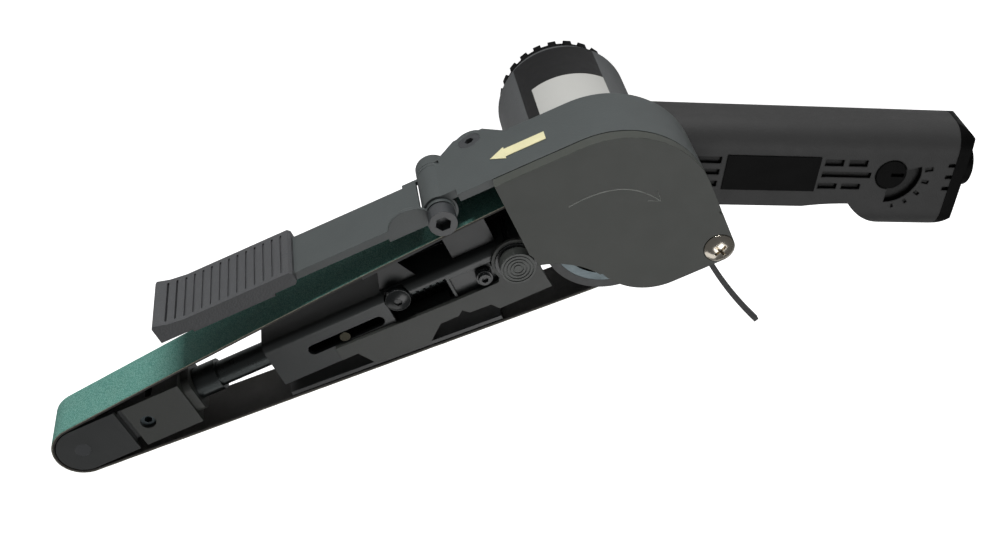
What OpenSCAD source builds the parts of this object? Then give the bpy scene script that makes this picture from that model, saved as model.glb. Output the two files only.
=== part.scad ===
// Hand held air powered belt sander. Millimetres, +Z up along the drive axis.
// The origin is the middle of the motor cap's flat outer face; the arm points to -X.

/* [Belt] */
// Width of the sanding belt
belt_w = 20; // [18:0.5:22]
// Thickness of the sanding belt
belt_t = 1.1; // [0.8:0.1:1.4]
// Distance from the drive axis to the nose axis
arm_reach = 203.4; // [195:0.2:215]

/* [Drive wheel] */
// Outer radius of the rubber tyre
tyre_r = 23.2; // [22:0.1:24]
// Thickness of the rubber tyre
tyre_t = 3; // [2:0.1:4]
// Width of the drive wheel
wheel_w = 25; // [23:0.5:27]
// Depth of the dish in the hub's outer face
hub_dish = 13; // [8:0.5:14]
// Radius of the motor shaft
shaft_r = 4; // [3.5:0.1:4.5]

/* [Motor] */
// Outer radius of the motor barrel
barrel_r = 25; // [24:0.1:26]
// Wall of the motor barrel
barrel_wall = 3; // [2.5:0.1:3.5]
// Length of the motor barrel
barrel_len = 57; // [55:0.5:62]
// Thickness of the motor cap's flange
cap_h = 5; // [3:0.1:6]
// Outer radius of the motor cap
cap_r = 23; // [21:0.1:23.4]
// Number of grip teeth on the motor cap
cap_teeth = 24; // [12:1:28]
// Radius of the neck that carries the belt head
neck_r = 20; // [18:0.1:21]
// Radius of the rotor
rotor_r = 15; // [14:0.1:15.1]
// Length of the rotor
rotor_len = 29.6; // [26:0.2:31]
// Number of vanes
vane_count = 5; // [4:1:6]
// Outer radius of the ball bearings
bearing_r = 11; // [10:0.1:11.5]
// Width of the ball bearings
bearing_w = 7; // [6:0.1:7.5]

/* [Belt housing] */
// Thickness of the clamp collar
collar_h = 7.7; // [7:0.1:9]
// Thickness of the housing's inner wall
wall_t = 2.5; // [2:0.1:3]
// Radius of the housing's round end
head_r = 33.6; // [33:0.1:35]
// Thickness of the housing's rim
rim_t = 3; // [2.5:0.1:3.5]
// Thickness of the side cover's plate
cover_t = 1.5; // [1.2:0.1:2]
// Height of the side cover's rim
cover_rim = 3; // [2.5:0.1:4]
// Radius of the hinge barrel
knuckle_r = 6; // [5.5:0.1:6.5]
// Radius of the hinge bolt
bolt_r = 3; // [2.5:0.1:3.2]

/* [Arm] */
// Height of the arm channel
arm_h = 18; // [17:0.5:19]
// Sheet thickness of the arm and its plates
sheet = 1.5; // [1.2:0.1:1.8]
// Length of the arm channel
arm_len = 100; // [98:0.5:102]
// Radius of the tension tube
tube_r = 4.5; // [4:0.1:5]
// Travel of the nose towards the wheel
nose_travel = 11; // [8:0.5:11.5]
// Outer radius of the nose roller
roller_r = 9.6; // [9:0.1:10]
// Radius of the nose roller's axle
axle_r = 2.8; // [2.4:0.1:3]
// Radius of the ringed release button
button_r = 6.1; // [5.5:0.1:6.3]
// Travel of the release button
button_travel = 3; // [2:0.5:3.5]

/* [Guard] */
// Length of the belt guard from the hinge axis
guard_len = 102; // [95:0.5:106]
// Length of the finger grip
grip_len = 52; // [50:0.5:58]
// Number of grooves in the finger grip
groove_count = 14; // [8:1:14]

/* [Handle] */
// Angle of the handle below the arm's line
handle_angle = 29.4; // [25:0.2:34]
// Height of the handle's middle above the cap face
handle_z = 45; // [44:0.5:47]
// Width of the handle
handle_w = 33.2; // [32:0.2:36]
// Thickness of the handle
handle_t = 24.8; // [24:0.2:26]
// Distance from the drive axis to the end cap
handle_len = 142.6; // [138:0.5:146]
// How far the butt reaches below the handle
butt_drop = 10.8; // [5:0.1:12]
// Length of the end cap
cap_len = 9.8; // [9:0.2:12]
// Inner radius of the air inlet's thread
inlet_r = 5.7; // [5:0.1:6]
// Length of the air inlet's thread
inlet_len = 12; // [10:0.5:14]
// Length of the throttle lever
lever_len = 92; // [85:0.5:96]

/* [Fits] */
// Radial clearance of running fits
run = 0.05; // [0.03:0.01:0.08]
// Clearance between seated pieces
seat = 0.02; // [0.01:0.01:0.04]
// Gap between the belt and what it runs over
belt_gap = 0.3; // [0.2:0.05:0.4]

/* [Hidden] */
$fn = 64;

// Levels along the drive axis
neck_z = cap_h + barrel_len;
collar_z = neck_z + belt_gap;
wall_z = collar_z + collar_h;
wheel_z = wall_z + wall_t + 0.8;
belt_z = wheel_z + 0.7;
belt_top = belt_z + belt_w;
belt_mid = belt_z + belt_w / 2;
cover_in = max(wheel_z + wheel_w, belt_top) + 0.7;
seam_z = cover_in - cover_rim;
face_z = cover_in + cover_t;
plate_z = belt_top - 0.4;

// Belt loop: inner radii at the wheel and at the nose, and the slope of its runs
loop_r1 = tyre_r + belt_gap;
loop_r2 = roller_r + belt_gap;
run_nx = -(loop_r1 - loop_r2) / arm_reach;
run_ny = sqrt(1 - run_nx * run_nx);
function run_y(x, r) = (r - run_nx * x) / run_ny;

// Housing outline
head_x = 4;
head_y = 2.3;
head_top = head_y + head_r;
right_x = head_x + head_r;
corner_r = 5.6;
foot_y = -29.2;
belly_x = 13;
belly_r = 22.2;
relief_x = -34.8;
relief_y = -28.9;
relief_r = 30;
rim_x0 = 7;
seam_gap = 0.5;
corner_x = right_x - corner_r;
corner_y = foot_y + corner_r;
cover_left = -27.5;

// Guard hinge
hinge_x = -48.2;
hinge_y = 30.4;
knuckle_z0 = wall_z - 5;
nut_r = 4.4;
nut_h = 4.2;
near_ear_z = plate_z - 1.2;
far_ear_z = wall_z + 0.4;
hinge_r = bolt_r + run;
guard_y = 32.6;
guard_z0 = belt_z - 1.8;
guard_x0 = hinge_x - guard_len;
guard_x1 = hinge_x - knuckle_r - 0.35;

// Clamp lug and its screw
clamp_x = -32;
clamp_z = wall_z - 3.5;
clamp_split = 13.6;
lug_r = 5.8;

// Arm channel
arm_x1 = -27;
arm_x0 = arm_x1 - arm_len;
arm_z1 = belt_top - 0.4;
arm_z0 = belt_z + 1;
button_x = -33.1;
button_y = 1.6;
button_top = arm_z1 + 6.4;
collar_r = button_r + 1.3;
collar_z0 = arm_z0 + sheet;
stud_x = -45.5;
stud_y = 0.5;
knob_x = -76;
knob_y = 5.5;
pin_x = -99;
slot_x0 = pin_x - 12;
slot_x1 = pin_x + nose_travel + 2;
pin_r = 1.9;
slot_half = pin_r + 0.25;
rod_r = 2.5;
tube_end_x = -90;
rear_guide_x = -58;
rear_guide_len = 16;
rod_end_x = -48.5;

// Nose
fork_x0 = -182.5;
fork_x1 = -160;
fork_half = 9.2;
socket_x = -157;
tube_collar_x = -148;
yoke_half = 9.4;
yoke_x1 = -185.5;
pivot_x = -177;

// Handle section and its pieces; body and core lie a little above the air passage's axis
sec_r = 9.6;
body_v = 2.5;
core_v = 1.5;
core_w = 26;
core_t = 17;
air_r = 6.5;
face_w = handle_t / 2;
valve_u = 75;
pivot_u = 45;
pivot_w = -face_w - 3;
lever_w = 11;
lug_mid = lever_w / 2;
lug_t = 2.6;
knob_u = 118;
knob_v = 0.5;
regulator_r = 5.9;
name_u0 = 52.5;
name_len = 36.3;
name_h = 14.5;

module in_handle() {
  translate([0, 0, handle_z]) rotate([0, 0, -handle_angle]) children();
}

module along_u(u) {
  translate([u, 0, 0]) rotate([90, 0, 90]) children();
}

module along_y(x, y, z) {
  translate([x, y, z]) rotate([-90, 0, 0]) children();
}

module along_x(x, y, z) {
  translate([x, y, z]) rotate([0, 90, 0]) children();
}

module rounded_rect(w, h, r) {
  square([w - 2 * r, h], center = true);
  square([w, h - 2 * r], center = true);
  for (sx = [-1, 1], sy = [-1, 1]) translate([sx * (w / 2 - r), sy * (h / 2 - r)]) circle(r);
}

module tube_ring(r_out, r_in, h) {
  difference() {
    cylinder(r = r_out, h = h);
    translate([0, 0, -1]) cylinder(r = r_in, h = h + 2);
  }
}

module hex(r, h) {
  cylinder(r = r, h = h, $fn = 6);
}

// Coil of round wire along +Z: one unbroken tube of six sides, eight rings a turn
coil_rings = 8;
coil_sides = 6;
function coil_point(r, wire, pitch, i, j) =
    let (a = 360 * i / coil_rings, b = 360 * j / coil_sides)
    [(r + wire * cos(b)) * cos(a), (r + wire * cos(b)) * sin(a),
        pitch * i / coil_rings + wire * sin(b)];
function coil_gap(r, wire, pitch) = min([for (j = [0:coil_sides - 1], k = [0:coil_sides - 1])
    norm(coil_point(r, wire, pitch, 0, j) - coil_point(r, wire, pitch, coil_rings, k))]);

module coil(r, wire, turns, length) {
  pitch = (length - 2 * wire) / turns;
  last = turns * coil_rings;
  echo(coil_self_gap = coil_gap(r, wire, pitch));
  points = [for (i = [0:last], j = [0:coil_sides - 1]) coil_point(r, wire, pitch, i, j)];
  skin = [for (i = [0:last - 1], j = [0:coil_sides - 1])
      let (a = i * coil_sides + j, b = i * coil_sides + (j + 1) % coil_sides)
      each [[a, a + coil_sides, b], [b, a + coil_sides, b + coil_sides]]];
  start = [for (j = [1:coil_sides - 2]) [0, j, j + 1]];
  end0 = last * coil_sides;
  finish = [for (j = [1:coil_sides - 2]) [end0, end0 + j + 1, end0 + j]];
  translate([0, 0, wire]) polyhedron(points, concat(skin, start, finish), convexity = 10);
}

// Belt loop outline at a distance d outside the belt's inner face, one arc at each end
function arc_points(x, y, r, from, to, steps) =
    [for (i = [0:steps]) let (a = from + (to - from) * i / steps) [x + r * cos(a), y + r * sin(a)]];

module loop_outline(d) {
  tangent = acos(run_nx);
  polygon(concat(arc_points(0, 0, loop_r1 + d, -tangent, tangent, 60),
      arc_points(-arm_reach, 0, loop_r2 + d, tangent, 360 - tangent, 48)));
}

module sanding_belt() {
  color([0.16, 0.42, 0.38]) translate([0, 0, belt_z]) linear_extrude(belt_w) difference() {
    loop_outline(belt_t);
    loop_outline(0);
  }
}

// Motor and handle casting
liner_r = barrel_r - barrel_wall - seat;
rear_z = cap_h + 4;
rear_plate_h = bearing_w + 2;
liner_z = rear_z + rear_plate_h;
liner_h = rotor_len + 0.4;
front_z = liner_z + liner_h;
front_plate_h = bearing_w + 2;
motor_end = front_z + front_plate_h;

module core_section(d = 0) {
  translate([core_v, 0]) rounded_rect(core_w - 2 * d, core_t - 2 * d, 6);
}

module motor_housing() {
  color([0.36, 0.37, 0.37]) difference() {
    union() {
      translate([0, 0, cap_h]) cylinder(r1 = barrel_r - 1.6, r2 = barrel_r, h = 4);
      translate([0, 0, cap_h + 4]) cylinder(r = barrel_r, h = barrel_len - 4);
      translate([0, 0, neck_z]) cylinder(r = neck_r, h = wall_z - neck_z - 0.3);
      in_handle() {
        along_u(0) linear_extrude(core_end) core_section();
        for (s = [-1, 1]) translate([pivot_u, s * lug_mid, pivot_w]) lever_lug();
      }
    }
    translate([0, 0, -1]) cylinder(r = barrel_r - barrel_wall, h = motor_end + 1);
    cylinder(r = shaft_r + 3, h = wall_z + 5);
    in_handle() {
      along_u(barrel_r - barrel_wall - 4) cylinder(r = 3.5, h = 60);
      along_u(valve_u - 3) cylinder(r = air_r, h = handle_len);
      along_u(bushing_u0) cylinder(r = bushing_r + seat, h = 60);
      translate([valve_u, 0, -core_t]) cylinder(r = sleeve_r + seat, h = core_t + valve_pocket);
      translate([knob_u, knob_v, 0]) cylinder(r = spindle_r + run, h = 30);
      translate([pivot_u, -20, pivot_w]) rotate([-90, 0, 0]) cylinder(r = lever_pin_r + seat, h = 40);
      translate([pivot_u - 7, -lever_w / 2 + 1.4, pivot_w - 7])
        cube([14, lever_w - 2.8, 7 + core_t / 2 - 2]);
    }
  }
}

module lever_lug() {
  rotate([90, 0, 0]) translate([0, 0, -lug_t / 2]) cylinder(r = 3.4, h = lug_t);
  translate([-3.4, -lug_t / 2, 0]) cube([6.8, lug_t, -pivot_w]);
}

module motor_cap() {
  tooth_w = 3;
  color([0.08, 0.08, 0.08]) difference() {
    union() {
      cylinder(r = cap_r - 1.2, h = cap_h);
      for (i = [0:cap_teeth - 1]) rotate([0, 0, i * 360 / cap_teeth])
        translate([cap_r - 3, -tooth_w / 2, 0]) cube([3, tooth_w, cap_h]);
      translate([0, 0, cap_h - 0.01]) cylinder(r = barrel_r - barrel_wall - run, h = rear_z - cap_h);
    }
    translate([0, 0, cap_h]) cylinder(r = barrel_r - barrel_wall - 4, h = rear_z);
    for (i = [0:3]) rotate([0, 0, 45 + i * 90]) translate([14, 0, -1]) cylinder(r = 1.8, h = 3);
  }
}

module rear_end_plate() {
  color([0.55, 0.55, 0.56]) translate([0, 0, rear_z]) difference() {
    cylinder(r = liner_r, h = rear_plate_h - seat);
    translate([0, 0, -1]) cylinder(r = bearing_r + seat, h = bearing_w + 1 + seat);
    cylinder(r = shaft_r + 0.4, h = 20);
  }
}

module front_end_plate() {
  color([0.55, 0.55, 0.56]) translate([0, 0, front_z + seat]) difference() {
    cylinder(r = liner_r, h = front_plate_h - 2 * seat);
    translate([0, 0, front_plate_h - bearing_w - 3 * seat]) cylinder(r = bearing_r + seat, h = 20);
    translate([0, 0, -1]) cylinder(r = shaft_r + 0.4, h = 20);
  }
}

module ball_bearing(z) {
  race = (bearing_r - shaft_r) * 0.28;
  middle = (bearing_r + shaft_r) / 2;
  translate([0, 0, z]) {
    tube_ring(bearing_r, bearing_r - race, bearing_w);
    tube_ring(shaft_r + race, shaft_r + run, bearing_w);
    translate([0, 0, bearing_w / 2 - 0.6]) tube_ring(bearing_r - race + 0.1, shaft_r + race - 0.1, 1.2);
    for (i = [0:6]) rotate([0, 0, i * 360 / 7]) translate([middle, 0, bearing_w / 2])
      sphere(r = (bearing_r - shaft_r) / 2 - race + 0.2, $fn = 24);
  }
}

module rear_bearing() {
  color([0.75, 0.75, 0.76]) ball_bearing(rear_z);
}

module front_bearing() {
  color([0.75, 0.75, 0.76]) ball_bearing(motor_end - bearing_w - seat - seat / 2);
}

module cylinder_liner() {
  bore_r = rotor_r + 1.8;
  port_r = 2.2;
  color([0.6, 0.6, 0.61]) translate([0, 0, liner_z]) difference() {
    cylinder(r = liner_r, h = liner_h);
    translate([0, 1.55, -1]) cylinder(r = bore_r, h = liner_h + 2);
    rotate([0, 0, -handle_angle]) translate([10, 0, handle_z - liner_z]) rotate([0, 90, 0])
      cylinder(r = port_r, h = 20);
  }
}

vane_t = 1.6;
vane_depth = 7;

module rotor() {
  color([0.5, 0.5, 0.51]) difference() {
    union() {
      translate([0, 0, rear_z]) cylinder(r = shaft_r, h = shaft_top - rear_z);
      translate([0, 0, liner_z + 0.2]) cylinder(r = rotor_r, h = rotor_len);
    }
    for (i = [0:vane_count - 1]) rotate([0, 0, i * 360 / vane_count])
      translate([rotor_r - vane_depth, -vane_t / 2, liner_z]) cube([20, vane_t, liner_h]);
    translate([0, 0, shaft_top - 9]) cylinder(r = screw_r + seat, h = 20);
  }
}

module vanes() {
  color([0.45, 0.3, 0.15]) for (i = [0:vane_count - 1]) rotate([0, 0, i * 360 / vane_count])
    translate([rotor_r - vane_depth + seat, -vane_t / 2 + seat, liner_z + 0.3])
      cube([vane_depth, vane_t - 2 * seat, rotor_len - 0.2]);
}

// Drive wheel
hub_r = tyre_r - tyre_t;
dish_z = wheel_z + wheel_w - hub_dish;
boss_top = wheel_z + wheel_w - 6;
shaft_top = boss_top - 0.4;
screw_r = 2;

module drive_hub() {
  color([0.5, 0.51, 0.52]) difference() {
    translate([0, 0, wheel_z]) cylinder(r = hub_r - seat, h = wheel_w, $fn = 128);
    translate([0, 0, dish_z]) cylinder(r = hub_r - 3, h = wheel_w);
    translate([0, 0, wheel_z - 1]) tube_ring(hub_r - 3, 10, dish_z - wheel_z - 5);
    cylinder(r = shaft_r + seat, h = 200);
  }
  color([0.5, 0.51, 0.52]) translate([0, 0, dish_z - 0.5])
    tube_ring(8, shaft_r + seat, boss_top - dish_z + 0.5);
}

module drive_tyre() {
  color([0.3, 0.31, 0.31]) translate([0, 0, wheel_z]) difference() {
    cylinder(r = tyre_r, h = wheel_w, $fn = 128);
    translate([0, 0, -1]) cylinder(r = hub_r, h = wheel_w + 2, $fn = 128);
  }
}

module drive_screw() {
  color([0.7, 0.7, 0.7]) difference() {
    union() {
      translate([0, 0, shaft_top - 8]) cylinder(r = screw_r, h = 8.6);
      translate([0, 0, boss_top + seat]) cylinder(r = 6, h = 1);
      translate([0, 0, boss_top + 1]) cylinder(r = 4, h = 3.2);
    }
    translate([0, 0, boss_top + 2.4]) hex(2.3, 5);
  }
}

// Belt head
module head_shape(d = 0) {
  difference() {
    union() {
      intersection() {
        translate([head_x, head_y]) circle(head_r - d, $fn = 160);
        translate([-60, -10]) square([120, 60]);
      }
      translate([belly_x, foot_y + belly_r]) circle(belly_r - d, $fn = 120);
      translate([belly_x, foot_y + d]) square([corner_x - belly_x, head_y - foot_y - d]);
      translate([belly_x, corner_y]) square([right_x - d - belly_x, head_y - corner_y]);
      translate([corner_x, corner_y]) circle(corner_r - d);
      translate([cover_left + d, -14]) square([head_x - cover_left - d, head_top - d + 14]);
    }
    translate([-100 + cover_left + d, -60]) square([100, 160]);
    translate([relief_x, relief_y]) circle(relief_r + d, $fn = 120);
  }
}

module housing_rim() {
  difference() {
    head_shape(0);
    head_shape(rim_t);
    translate([-60, -60]) square([60 + rim_x0, 60]);
    translate([-60, -1]) square([60 + head_x, 1 + head_top - rim_t]);
  }
}

module clamp_collar() {
  translate([0, 0, collar_z]) cylinder(r = neck_r + 7, h = collar_h);
  translate([clamp_x - lug_r, 2, collar_z]) cube([lug_r + 12, 20, collar_h]);
  translate([clamp_x - lug_r, 20, clamp_z]) cube([2 * lug_r, head_top - 20, wall_z - clamp_z]);
  along_y(clamp_x, 2, clamp_z) cylinder(r = lug_r, h = head_top - 2);
  along_y(0, head_top - rim_t, wall_z) linear_extrude(rim_t)
    polygon([[clamp_x - 13, 0], [clamp_x - 5.5, 7.5], [clamp_x + 5.5, 7.5], [clamp_x + 13, 0]]);
}

module belt_housing() {
  color([0.33, 0.36, 0.36]) difference() {
    union() {
      translate([0, 0, wall_z]) linear_extrude(wall_t) {
        head_shape(0);
        translate([arm_x1 - 15, -arm_h / 2 + 1]) square([18, head_top - 1 + arm_h / 2 - 1]);
      }
      translate([0, 0, wall_z]) linear_extrude(seam_z - seam_gap - wall_z) housing_rim();
      translate([arm_x1 - 15, -arm_h / 2 + 1, wall_z])
        cube([14, arm_h - 2, arm_z0 - wall_z - seat]);
      translate([hinge_x + 1, head_top - rim_t, wall_z])
        cube([head_x - hinge_x - 1, rim_t, seam_z - seam_gap - wall_z]);
      translate([hinge_x, hinge_y, knuckle_z0])
        cylinder(r = knuckle_r, h = near_ear_z - 0.2 - knuckle_z0, $fn = 96);
      translate([corner_x, corner_y, wall_z]) cylinder(r = corner_r, h = seam_z - wall_z);
      clamp_collar();
    }
    translate([0, 0, collar_z - 1]) cylinder(r = neck_r + run, h = wall_z - collar_z + 1);
    translate([0, 0, wall_z - 1]) cylinder(r = 14, h = 10);
    translate([clamp_x - 14, clamp_split, clamp_z - 10]) cube([26, 1.5, wall_z - clamp_z + 10]);
    along_y(clamp_x, -5, clamp_z) cylinder(r = 2.5 + run, h = 60);
    along_y(clamp_x, head_top - 2.6, clamp_z) cylinder(r1 = 2.5 + run, r2 = 4.1, h = 2.61);
    translate([hinge_x, hinge_y, 0]) cylinder(r = hinge_r, h = 150);
    translate([hinge_x, hinge_y, knuckle_z0 - 1]) cylinder(r = nut_r + seat, h = nut_h + 1.4);
    translate([hinge_x, hinge_y, far_ear_z - 0.2]) cylinder(r = knuckle_r + 0.8, h = sheet + 0.4);
    translate([hinge_x, hinge_y, near_ear_z - 0.2]) cylinder(r = knuckle_r + 1.5, h = 10);
    translate([hinge_x - 10, head_top - rim_t - 5, near_ear_z - 0.2]) cube([18, 20, 10]);
    translate([corner_x, corner_y, seam_z - 12]) cylinder(r = screw_r + seat, h = 20);
    translate([flap_x - flap_t / 2 - seat, foot_y - 1, flap_z - seat])
      cube([flap_t + 2 * seat, 1 + flap_seat + seat, flap_w + 2 * seat]);
    for (s = arm_screw_xs) translate([s, arm_screw_y, wall_z - 1]) cylinder(r = 2 + seat, h = 10);
  }
}

module side_cover() {
  color([0.37, 0.38, 0.37]) difference() {
    translate([0, 0, seam_z]) linear_extrude(face_z - seam_z) head_shape(0);
    translate([0, 0, seam_z - 1]) linear_extrude(cover_in - seam_z + 1) difference() {
      head_shape(2);
      translate([corner_x, corner_y]) circle(corner_r - 1);
    }
    translate([0, 0, seam_z - 1]) cylinder(r = tyre_r + 1.4, h = cover_in - seam_z + 1);
    translate([-60, -60, seam_z - 1]) cube([60, 60 + head_top - 2, cover_in - seam_z + 1]);
    translate([corner_x, corner_y, seam_z - 1]) cylinder(r = screw_r + 0.3, h = 20);
    translate([corner_x, corner_y, face_z - 0.8]) cylinder(r = 5.5, h = 5);
    translate([right_x - 0.8, -10.6, seam_z - 1]) cube([5, 1.4, 20]);
    translate([button_x, button_y, seam_z - 1]) cylinder(r = button_r + 0.6, h = 20);
  }
}

module cover_screw() {
  color([0.85, 0.84, 0.8]) difference() {
    union() {
      translate([corner_x, corner_y, seam_z - 10]) cylinder(r = screw_r, h = face_z - seam_z + 10);
      intersection() {
        translate([corner_x, corner_y, face_z - 0.8 + seat]) cylinder(r = 5.3, h = 3);
        translate([corner_x, corner_y, face_z - 6.5]) sphere(r = 8.6);
      }
    }
    for (a = [20, 110]) translate([corner_x, corner_y, face_z + 1]) rotate([0, 0, a])
      cube([5, 1, 3], center = true);
  }
}

module clamp_screw() {
  color([0.3, 0.32, 0.33]) difference() {
    union() {
      along_y(clamp_x, 3, clamp_z) cylinder(r = 2.5, h = head_top - 3 - 2.6);
      along_y(clamp_x, head_top - 2.6 - 0.01, clamp_z) cylinder(r1 = 2.5, r2 = 4.0, h = 2.5);
    }
    along_y(clamp_x, head_top - 2.2, clamp_z) hex(1.7, 5);
  }
}

module direction_arrow() {
  x0 = -26.5;
  color([0.88, 0.86, 0.68]) along_y(x0, head_top + seat, belt_mid - 0.3) linear_extrude(0.2)
    polygon([[0, 0], [5.4, 3.7], [5.4, 2.4], [20, 2.4], [20, -2.4], [5.4, -2.4], [5.4, -3.7]]);
}

// Spark flap: a narrow rubber strip held in a slot under the wheel
flap_x = 27;
flap_t = 1.8;
flap_w = 2.4;
flap_z = seam_z - 4.2;
flap_r = 155;
flap_lean = 5;
flap_angle = 14;
flap_seat = 3.3;

module spark_flap() {
  x0 = flap_x + flap_r * cos(flap_lean);
  y0 = foot_y + flap_r * sin(flap_lean);
  start = 180 + flap_lean;
  color([0.13, 0.13, 0.13]) translate([0, 0, flap_z]) linear_extrude(flap_w) polygon(concat(
      [[flap_x - flap_t / 2, foot_y + flap_seat]],
      arc_points(x0, y0, flap_r + flap_t / 2, start, start + flap_angle, 16),
      arc_points(x0, y0, flap_r - flap_t / 2, start + flap_angle, start, 16),
      [[flap_x + flap_t / 2, foot_y + flap_seat]]));
}

// Arm
arm_screw_xs = [arm_x1 - 11.5, arm_x1 - 4.5];
arm_screw_y = -4.2;

module arm_channel() {
  w = arm_z1 - arm_z0;
  color([0.3, 0.32, 0.32]) difference() {
    translate([arm_x0, 0, arm_z0 + w / 2]) rotate([90, 0, 90]) linear_extrude(arm_len) arm_profile(w);
    translate([slot_x0, -slot_half, arm_z1 - 5]) cube([slot_x1 - slot_x0, 2 * slot_half, 10]);
    for (x = [slot_x0, slot_x1]) translate([x, 0, arm_z1 - 5]) cylinder(r = slot_half, h = 10);
    translate([-80.5, -3.8, arm_z1 - 3]) cube([22.5, 9.3, 10]);
    translate([knob_x, knob_y, arm_z1 - 3]) cylinder(r = knob_head_r + 0.4, h = 10);
    translate([-57, -4.5, arm_z1 - 3]) cube([40, 9, 10]);
    translate([button_x, button_y, collar_z0]) cylinder(r = collar_r + seat, h = 40);
    for (s = arm_screw_xs) translate([s, arm_screw_y, arm_z0 - 1]) cylinder(r = 2 + seat, h = 5);
  }
  color([0.3, 0.32, 0.32]) translate([-80, -5.4, arm_z1 - 7]) cube([20, sheet, 6.4]);
}

// Cross-section of the channel: a tube of sheet, round at its top edge
module arm_profile(w) {
  r = 3;
  difference() {
    union() {
      rounded_rect(arm_h, w, r);
      translate([-arm_h / 2, -w / 2]) square([arm_h / 2, w]);
    }
    rounded_rect(arm_h - 2 * sheet, w - 2 * sheet, r - sheet);
    translate([-arm_h / 2 + sheet, -w / 2 + sheet]) square([arm_h / 2, w - 2 * sheet]);
  }
}

module arm_screws() {
  color([0.5, 0.5, 0.5]) for (s = arm_screw_xs) translate([s, arm_screw_y, 0]) difference() {
    union() {
      translate([0, 0, wall_z + 0.4]) cylinder(r = 2, h = arm_z0 + sheet - wall_z);
      translate([0, 0, arm_z0 + sheet + seat]) cylinder(r = 3.1, h = 2);
    }
    translate([0, 0, arm_z0 + sheet + 1]) hex(1.5, 4);
  }
}

module guide_block(x, len, r) {
  w = arm_z1 - arm_z0 - 2 * sheet - 0.1;
  translate([x, -6, arm_z0 + sheet + 0.05]) difference() {
    cube([len, 12, w]);
    translate([-1, 6, belt_mid - arm_z0 - sheet - 0.05]) rotate([0, 90, 0]) cylinder(r = r, h = len + 2);
  }
}

module tube_guides() {
  color([0.42, 0.42, 0.42]) {
    guide_block(arm_x0 + 1, 12, tube_r + run);
    difference() {
      guide_block(rear_guide_x, rear_guide_len, rod_r + run);
      translate([stud_x, stud_y, belt_mid + rod_r + 0.5]) cylinder(r = 2.2 + seat, h = 20);
    }
  }
}

// Flat plate in front of the channel, with the leg that holds the platen
leg_x1 = -74;
leg_x0 = leg_x1 - 20;
upper_x0 = -84;
upper_x1 = -37;

module side_plate() {
  leg = 0.5 + sheet;
  foot = [for (x = [leg_x1, leg_x0]) [x, -run_y(x, loop_r1) + leg]];
  color([0.34, 0.35, 0.34]) translate([0, 0, arm_z1 + seat]) difference() {
    union() {
      linear_extrude(sheet) polygon(concat([[-104, -2.4], [-60, -3.8], [-42, -3.8], [-40, 0],
          [-27, 0], [-26, -14.3], [-46, -14.3], [-48, -11.3], [-56, -10.8], [-58, -8.6],
          [-60, -10.3], [-67, -10.3]], foot, [[-98, -8], [-104, -8]]));
      translate([button_x, button_y, 0]) cylinder(r = collar_r + 1.2, h = sheet);
    }
    translate([button_x, button_y, -1]) cylinder(r = collar_r + seat, h = sheet + 2);
  }
}

module run_plate(x0, x1, z0, z1, side) {
  gap = belt_gap + 0.1;
  translate([0, 0, z0]) linear_extrude(z1 - z0) polygon([
      [x0, side * (run_y(x0, loop_r1) - gap)], [x1, side * (run_y(x1, loop_r1) - gap)],
      [x1, side * (run_y(x1, loop_r1) - gap - sheet)], [x0, side * (run_y(x0, loop_r1) - gap - sheet)]]);
}

module platen() {
  color([0.4, 0.4, 0.39]) {
    run_plate(arm_x0, -47, belt_z + 0.6, plate_z, -1);
    platen_leg(leg_x0, leg_x1);
  }
}

module platen_leg(x0, x1) {
  top = -arm_h / 2 - seat;
  difference() {
    translate([x0, top - 12, arm_z0]) cube([x1 - x0, 12, arm_z1 - arm_z0]);
    translate([x0 - 1, top - 13, arm_z0 + sheet]) cube([x1 - x0 + 2, 12, 50]);
    translate([0, 0, -1]) linear_extrude(200) polygon([[x0 - 1, -run_y(x0 - 1, loop_r1) + belt_gap + 0.5],
        [x1 + 1, -run_y(x1 + 1, loop_r1) + belt_gap + 0.5], [x1 + 1, -60], [x0 - 1, -60]]);
  }
}

module upper_leg(x0, x1, x2, x3, z) {
  base = arm_h / 2 + seat;
  translate([0, 0, z]) linear_extrude(sheet) polygon([[x0, base], [x1, base],
      [x2, run_y(x2, loop_r1) - belt_gap - 0.4], [x3, run_y(x3, loop_r1) - belt_gap - 0.4]]);
}

module upper_platen() {
  color([0.42, 0.43, 0.42]) {
    run_plate(upper_x0, upper_x1, arm_z0 + 1, arm_z1 - 4, 1);
    upper_leg(-81, -67, -71, -78, arm_z1 - 4 - sheet);
    upper_leg(-53, -37, -37, -53, arm_z1 - 4 - sheet);
    upper_leg(-81, -37, -37, -81, arm_z0 + 1);
  }
}

module set_screw() {
  color([0.25, 0.26, 0.27]) translate([stud_x, stud_y, 0]) {
    difference() {
      translate([0, 0, belt_mid + rod_r + 0.6]) cylinder(r = 2.2, h = arm_z1 + 2.6 - belt_mid - rod_r);
      translate([0, 0, arm_z1 + 1]) hex(1.2, 5);
    }
    for (i = [0:2]) translate([0, 0, arm_z1 - sheet + 0.2 + 1.3 * i]) cylinder(r = 2.9, h = 0.8);
  }
}

module button_collar() {
  color([0.14, 0.15, 0.15]) translate([button_x, button_y, 0]) difference() {
    translate([0, 0, collar_z0 + seat]) cylinder(r = collar_r, h = arm_z1 + sheet + 0.6 - collar_z0);
    translate([0, 0, collar_z0 + 2]) cylinder(r = button_r + run, h = 40);
    translate([0, 0, collar_z0 - 1]) cylinder(r = stem_r + run, h = 40);
    translate([-20, -button_y, belt_mid]) rotate([0, 90, 0]) cylinder(r = rod_r + 0.6, h = 20);
    translate([arm_screw_xs[0] - button_x, arm_screw_y - button_y, 0]) cylinder(r = 3.4, h = collar_z0 + 3);
    translate([arm_screw_xs[1] - button_x, arm_screw_y - button_y, 0]) cylinder(r = 3.4, h = collar_z0 + 3);
  }
}

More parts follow.
